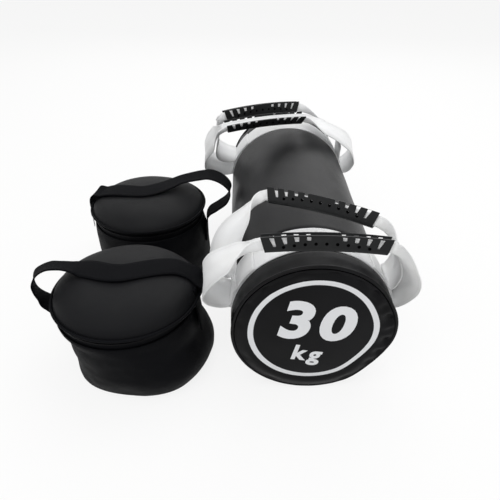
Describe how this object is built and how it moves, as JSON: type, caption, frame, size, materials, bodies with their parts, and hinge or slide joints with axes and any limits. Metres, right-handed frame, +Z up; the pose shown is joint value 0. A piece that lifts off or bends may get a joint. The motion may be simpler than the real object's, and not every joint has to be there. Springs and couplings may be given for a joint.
{
  "type": "sandbag trainer",
  "caption": "Round strength-training sandbag with webbing carrying handles and moulded grips, shown with drum-shaped filler bags that have zipped lids and strap handles.",
  "frame": {"origin": "on the floor under the middle of the long bag, on its flattened underside", "axes": "+Z up; the long bag lies along Y with its marked end facing -Y and its zipped end facing +Y; the filler bags stand on its -X side"},
  "size_m": [0.5252, 0.5844, 0.2668],
  "materials": {
    "black_leather": "smooth grained artificial leather, slight sheen",
    "white_webbing": "tight woven polyester webbing, matt",
    "black_plastic": "moulded flexible plastic, satin",
    "black_cloth": "coated dense nylon cloth, matt",
    "black_webbing": "woven nylon webbing, matt",
    "grey_foam": "closed-cell foam sheet",
    "sand_sack": "woven sack packed with dry sand",
    "zip_metal": "plated zinc"
  },
  "bodies": {
    "long_bag": {"main_shell": "black_leather", "near_end_disc": "black_leather", "near_end_piping": "black_leather", "far_end_rim": "black_leather", "far_end_piping": "black_leather", "far_zip_outer_row": "black_plastic", "far_zip_tail": "black_plastic", "foam_liner": "grey_foam", "near_sand_bag": "sand_sack", "near_sand_bag_tie": "black_plastic", "far_sand_bag": "sand_sack", "far_sand_bag_tie": "black_plastic", "near_band": "white_webbing", "far_band": "white_webbing", "near_left_patch": "white_webbing", "near_right_patch": "white_webbing", "far_left_patch": "white_webbing", "far_right_patch": "white_webbing"},
    "far_flap": {"far_flap": "black_leather", "far_zip_inner_row": "black_plastic"},
    "far_slider": {"far_zip_slider": "zip_metal"},
    "far_pull": {"far_zip_pull": "zip_metal"},
    "near_front_handle": {"near_front_grip": "black_plastic", "near_front_strap": "white_webbing"},
    "near_back_handle": {"near_back_grip": "black_plastic", "near_back_strap": "white_webbing"},
    "far_front_handle": {"far_front_grip": "black_plastic", "far_front_strap": "white_webbing"},
    "far_back_handle": {"far_back_grip": "black_plastic", "far_back_strap": "white_webbing"},
    "front_filler": {"front_filler_body": "black_cloth", "front_filler_base": "black_cloth", "front_filler_base_piping": "black_cloth", "front_filler_rim_piping": "black_cloth", "front_filler_lid": "black_cloth", "front_filler_zip_tape": "black_cloth", "front_filler_zip_chain": "black_plastic", "front_filler_strap": "black_webbing", "front_filler_left_patch": "black_webbing", "front_filler_right_patch": "black_webbing", "front_filler_sand_pouch": "sand_sack"},
    "front_filler_slider": {"front_filler_zip_slider": "zip_metal"},
    "front_filler_pull": {"front_filler_zip_pull": "zip_metal"},
    "rear_filler": {"rear_filler_body": "black_cloth", "rear_filler_base": "black_cloth", "rear_filler_base_piping": "black_cloth", "rear_filler_rim_piping": "black_cloth", "rear_filler_lid": "black_cloth", "rear_filler_zip_tape": "black_cloth", "rear_filler_zip_chain": "black_plastic", "rear_filler_strap": "black_webbing", "rear_filler_left_patch": "black_webbing", "rear_filler_right_patch": "black_webbing", "rear_filler_sand_pouch": "sand_sack"},
    "rear_filler_slider": {"rear_filler_zip_slider": "zip_metal"},
    "rear_filler_pull": {"rear_filler_zip_pull": "zip_metal"}
  },
  "joints": [
    {"name": "near_front_handle_swing", "type": "hinge", "parent": "long_bag", "child": "near_front_handle", "pos_m": [0, -0.208, 0.125], "axis": [1, 0, 0], "range_deg": [-3, 61]},
    {"name": "near_back_handle_swing", "type": "hinge", "parent": "long_bag", "child": "near_back_handle", "pos_m": [0, -0.208, 0.151], "axis": [-1, 0, 0], "range_deg": [0, 28]},
    {"name": "far_front_handle_swing", "type": "hinge", "parent": "long_bag", "child": "far_front_handle", "pos_m": [0, 0.208, 0.125], "axis": [1, 0, 0], "range_deg": [-4, 6]},
    {"name": "far_back_handle_swing", "type": "hinge", "parent": "long_bag", "child": "far_back_handle", "pos_m": [0, 0.208, 0.151], "axis": [-1, 0, 0], "range_deg": [0, 36]},
    {"name": "far_flap_fold", "type": "hinge", "parent": "long_bag", "child": "far_flap", "pos_m": [0, 0.27446, 0.03518], "axis": [-1, 0, 0], "range_deg": [0, 100]},
    {"name": "far_slider_run", "type": "hinge", "parent": "long_bag", "child": "far_slider", "pos_m": [0, 0.27, 0.105], "axis": [0, 1, 0], "range_deg": [0, 288]},
    {"name": "far_pull_swing", "type": "hinge", "parent": "far_slider", "child": "far_pull", "pos_m": [-0.03368, 0.2781, 0.0237], "axis": [0.3827, 0, 0.9239], "range_deg": [0, 75]},
    {"name": "front_filler_lift", "type": "slide", "parent": "long_bag", "child": "front_filler", "axis": [0, 0, 1], "range_m": [0, 0.3]},
    {"name": "front_filler_slider_run", "type": "hinge", "parent": "front_filler", "child": "front_filler_slider", "pos_m": [-0.259, -0.202, 0.115], "axis": [0, 0, 1], "range_deg": [-48, 84]},
    {"name": "front_filler_pull_swing", "type": "hinge", "parent": "front_filler_slider", "child": "front_filler_pull", "pos_m": [-0.22797, -0.10651, 0.115], "axis": [0.9511, -0.309, 0], "range_deg": [0, 75]},
    {"name": "rear_filler_lift", "type": "slide", "parent": "long_bag", "child": "rear_filler", "axis": [0, 0, 1], "range_m": [0, 0.3]},
    {"name": "rear_filler_slider_run", "type": "hinge", "parent": "rear_filler", "child": "rear_filler_slider", "pos_m": [-0.26, 0.046, 0.115], "axis": [0, 0, 1], "range_deg": [-6, 145]},
    {"name": "rear_filler_pull_swing", "type": "hinge", "parent": "rear_filler_slider", "child": "rear_filler_pull", "pos_m": [-0.35847, 0.02641, 0.115], "axis": [-0.1951, 0.9808, 0], "range_deg": [0, 75]}
  ]
}
